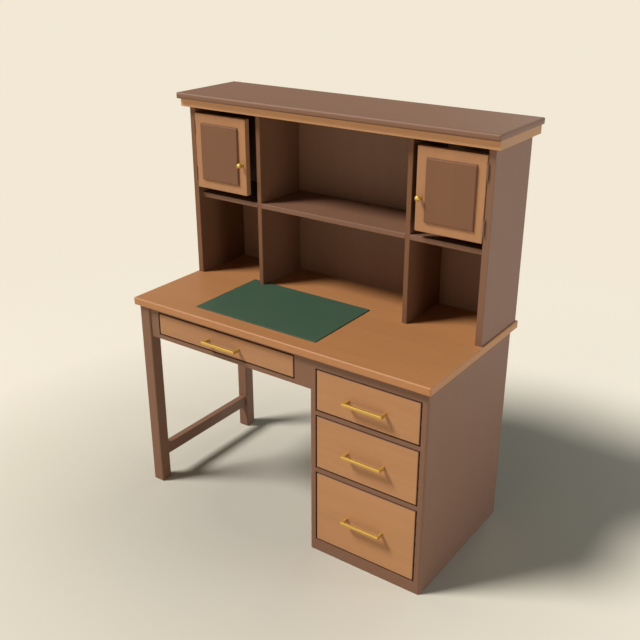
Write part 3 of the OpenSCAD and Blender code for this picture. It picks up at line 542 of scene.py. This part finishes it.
def spread(low, high, step):
    """Places from low to high, as near step apart as an even spacing allows."""
    return np.linspace(low, high, max(2, round((high - low) / step) + 1))


def back_screws(node):
    """Screws round the edge of a back board, on its outside face."""
    (x0, _, z0), (x1, y1, z1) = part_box(node)
    xs = spread(x0 + BACK_IN, x1 - BACK_IN, BACK_STEP)
    zs = spread(z0 + BACK_IN, z1 - BACK_IN, BACK_STEP)
    spots = [(x, z) for x in xs for z in (zs[0], zs[-1])]
    spots += [(x, z) for x in (xs[0], xs[-1]) for z in zs[1:-1]]
    return [((x, y1, z), (0, 1, 0), *BACK_SCREW) for x, z in spots]


def drawer_screws(drawer):
    """Two screws through the front into the pull's feet, and a row along the bottom's back."""
    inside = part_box(f"{drawer}_drawer_front")[1][1]
    (left, _, low), (right, _, high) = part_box(f"{drawer}_drawer_pull")
    middle, reach = (left + right) / 2, (right - left) / 2 - PULL_FOOT_IN
    held = [((middle + side * reach, inside, (low + high) / 2), (0, 1, 0), *PULL_SCREW)
            for side in (-1, 1)]
    (x0, _, z0), (x1, y1, _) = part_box(f"{drawer}_drawer_bottom")
    return held + [((x, y1 - BACK_IN, z0), (0, 0, -1), *BACK_SCREW)
                   for x in spread(x0 + BOTTOM_IN, x1 - BOTTOM_IN, BOTTOM_STEP)]


print("screws in a drawer:", {drawer: len(drawer_screws(drawer)) for drawer in DRAWERS})

# %% [markdown]
# Each door hangs on two narrow butt hinges. One leaf of each is screwed to the side panel
# and the other to the door's edge, with three small countersunk screws, which end almost
# flush with the leaf. One more screw goes through the door's stile into the knob.

# %% Screws of the doors
HINGE_HALF = 25 * MM
LEAF_T = 0.6 * MM
LEAF_STEP = 17 * MM
LEAF_SCREW = (2.2 * MM, 0.1 * MM, 0.08 * MM)


def leaf_screws(x, way):
    """Three screws in each of the leaves on one side, on their face at x that looks along way."""
    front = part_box("hutch_left_side")[0][1]
    (_, _, z0), (_, back, z1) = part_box("left_door_leaves")
    return [((x, (front + back) / 2, z + step * LEAF_STEP), (way, 0, 0), *LEAF_SCREW)
            for z in (z0 + HINGE_HALF, z1 - HINGE_HALF) for step in (-1, 0, 1)]


def door_screws(door, way):
    """The screws of the leaves on a door's edge, and the one through the stile into the knob."""
    low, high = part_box(f"{door}_door_frame")
    edge = high[0] if way > 0 else low[0]
    knob_low, knob_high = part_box(f"{door}_door_knob")
    x, z = (knob_low[0] + knob_high[0]) / 2, (knob_low[2] + knob_high[2]) / 2
    return leaf_screws(edge + way * LEAF_T, way) + [((x, high[1], z), (0, 1, 0), *PULL_SCREW)]


print("screws in a door:", len(door_screws("left", -1)))

# %% [markdown]
# The screws that ride together make one piece: a set on the desk itself, one on each door
# and one on each drawer.

# %% Set the screws
left_wall, right_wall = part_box("hutch_left_side")[1][0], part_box("hutch_right_side")[0][0]
screws = {
    "desk_screws": ("desk", leaf_screws(right_wall - LEAF_T, -1)
                    + leaf_screws(left_wall + LEAF_T, 1)
                    + back_screws("hutch_back") + back_screws("pedestal_back")),
    "left_door_screws": ("left_door", door_screws("left", -1)),
    "right_door_screws": ("right_door", door_screws("right", 1)),
}
for drawer in DRAWERS:
    screws[f"{drawer}_drawer_screws"] = (f"{drawer}_drawer", drawer_screws(drawer))
for name, (body, places) in screws.items():
    piece = finished_piece(name, *screw_heads(places), screw_steel, body, "bronzed_steel")
    print(name, len(places), "screws,", len(piece.data.polygons), "faces")

# %% [markdown]
# The floor is a plain pale sheet that fades into the backdrop far behind the desk, as a
# photographer's paper sweep does. Its own colour does that, so the lamps stay at a level
# where a colour looks as it was written. The paper also holds painted shade: it is darker
# round a point under the desk, and paler the further it lies from there.

# %% Floor
# Painted shade: the nearest paper is the darkest, for the shade under and around the desk.
PAPER, MID_PAPER, FAR_PAPER = "#b5afa2", "#d4ccba", "#ebe1cf"
BACKDROP = "#f2e8d5"
FLOOR_HALF = 40.0
PAINTED_SHADE_AT = (-0.08, -0.1, 0.0)
PALER_AT = (0.25, 0.9, 1.6)
FADE_FROM, FADE_TO = 1.9, 3.2


def matt_paper():
    """Three papers blended by the distance from the darkest point of the painted shade, reached
    at the metres of PALER_AT.

    From FADE_FROM to FADE_TO the camera sees the backdrop's plain colour instead.
    """
    material, tree = new_material("matt_paper")
    at = add(tree, "ShaderNodeTexCoord", output="Object")
    away = add(tree, "ShaderNodeVectorMath", {0: at, 1: PAINTED_SHADE_AT}, output="Value",
               operation="DISTANCE")
    parts = [add(tree, "ShaderNodeMapRange", {"Value": away, "From Min": start, "From Max": end})
             for start, end in zip(PALER_AT, PALER_AT[1:])]
    near = add(tree, "ShaderNodeMix", {"Factor": parts[0], "A": linear(PAPER),
                                       "B": linear(MID_PAPER)}, output="Result",
               data_type="RGBA")
    colour = add(tree, "ShaderNodeMix", {"Factor": parts[1], "A": near,
                                         "B": linear(FAR_PAPER)}, output="Result",
                 data_type="RGBA")
    fade = add(tree, "ShaderNodeMapRange", {"Value": away, "From Min": FADE_FROM,
                                            "From Max": FADE_TO},
               interpolation_type="SMOOTHSTEP")
    by_camera = add(tree, "ShaderNodeLightPath", output="Is Camera Ray")
    share = add(tree, "ShaderNodeMath", {0: fade, 1: by_camera}, operation="MULTIPLY")
    paper = add(tree, "ShaderNodeBsdfDiffuse", {"Color": colour})
    beyond = add(tree, "ShaderNodeEmission", {"Color": linear(BACKDROP), "Strength": 1.0})
    surface = add(tree, "ShaderNodeMixShader", {0: share, 1: paper, 2: beyond})
    add(tree, "ShaderNodeOutputMaterial", {"Surface": surface})
    return material


def paper_floor():
    """A square of paper, FLOOR_HALF metres to each side, as the stage."""
    s = FLOOR_HALF
    mesh = bpy.data.meshes.new("paper_floor")
    mesh.from_pydata([(-s, -s, 0), (s, -s, 0), (s, s, 0), (-s, s, 0)], [], [(0, 1, 2, 3)])
    sheet = bpy.data.objects.new("paper_floor", mesh)
    bpy.context.scene.collection.objects.link(sheet)
    mesh.materials.append(matt_paper())
    return sheet


floor = paper_floor()
print("floor:", floor.name, "fades from", FADE_FROM, "to", FADE_TO, "m")

# %% [markdown]
# The world is the backdrop above the floor. The camera sees it in full, and gloss a little
# less of it, so that brass has something pale to mirror. As a light it is almost dark, so
# that the lamps alone shape the desk.

# %% World
AMBIENT = 0.02
GLOSS_SHARE = 0.6


def studio_world():
    """The greater of camera and GLOSS_SHARE · gloss blends from a dim light to the backdrop."""
    studio = bpy.data.worlds.new("studio")
    bpy.context.scene.world = studio
    studio.use_nodes = True
    tree = studio.node_tree
    tree.nodes.clear()
    light = add(tree, "ShaderNodeBackground", {"Color": (1, 1, 1, 1), "Strength": AMBIENT})
    seen = add(tree, "ShaderNodeBackground", {"Color": linear(BACKDROP), "Strength": 1.0})
    by_camera = add(tree, "ShaderNodeLightPath", output="Is Camera Ray")
    by_gloss = add(tree, "ShaderNodeLightPath", output="Is Glossy Ray")
    dimmed = add(tree, "ShaderNodeMath", {0: by_gloss, 1: GLOSS_SHARE}, operation="MULTIPLY")
    either = add(tree, "ShaderNodeMath", {0: by_camera, 1: dimmed}, operation="MAXIMUM")
    blend = add(tree, "ShaderNodeMixShader", {0: either, 1: light, 2: seen})
    add(tree, "ShaderNodeOutputWorld", {"Surface": blend})
    return studio


world = studio_world()
print("world:", world.name)

# %% [markdown]
# Five soft boxes light the desk. The key stands high on the left in front, and throws the
# shadows to the right and back. It is a big lamp a long way off, so the top and the foot of
# the desk get the same light, and it looks 0.3 radian wide from there, which makes the
# edges of the shadows soft. The other four are weak and low, all round the desk: they open
# up the faces that the key can't reach, and hardly touch the shadow on the floor. Their
# tints are faint: a little cool at the back right, as daylight is, a touch green behind and
# a little warm in front.

# %% Lamps
DESK_MIDDLE = np.array([0, 0, 0.7])
KEY_AWAY, KEY_SIZE = 40.0, 12.0
FILL_AWAY, FILL_SIZE, BACK_FILL_SIZE = 8.0, 2.6, 5.0


def soft_box(name, towards, away, size, watts, colour="#ffffff"):
    """A round area lamp at DESK_MIDDLE − away · towards (made a unit vector), facing that way."""
    data = bpy.data.lights.new(name, "AREA")
    data.shape = "DISK"
    data.size = size
    data.energy = watts
    data.color = linear(colour)[:3]
    lamp = bpy.data.objects.new(name, data)
    way = np.array(towards) / np.linalg.norm(towards)
    lamp.location = DESK_MIDDLE - way * away
    back = -way
    lamp.rotation_euler = (math.acos(back[2]), 0, math.atan2(back[0], -back[1]))
    bpy.context.scene.collection.objects.link(lamp)
    return lamp


lamps = [
    soft_box("key_soft_box", (0.472, 0.436, -0.757), KEY_AWAY, KEY_SIZE, 19700),
    soft_box("front_fill", (0.0, 1.0, -0.07), FILL_AWAY, FILL_SIZE, 68, "#fff2d9"),
    soft_box("right_front_fill", (-0.95, 0.3, -0.07), FILL_AWAY, FILL_SIZE, 95),
    soft_box("right_back_fill", (-0.92, -0.38, -0.07), FILL_AWAY, FILL_SIZE, 256, "#dbeeff"),
    soft_box("back_fill", (0.0, -0.95, -0.3), FILL_AWAY, BACK_FILL_SIZE, 130, "#f0fcf2"),
]
for lamp in lamps:
    print(lamp.name, "at", [round(v, 2) for v in lamp.location])
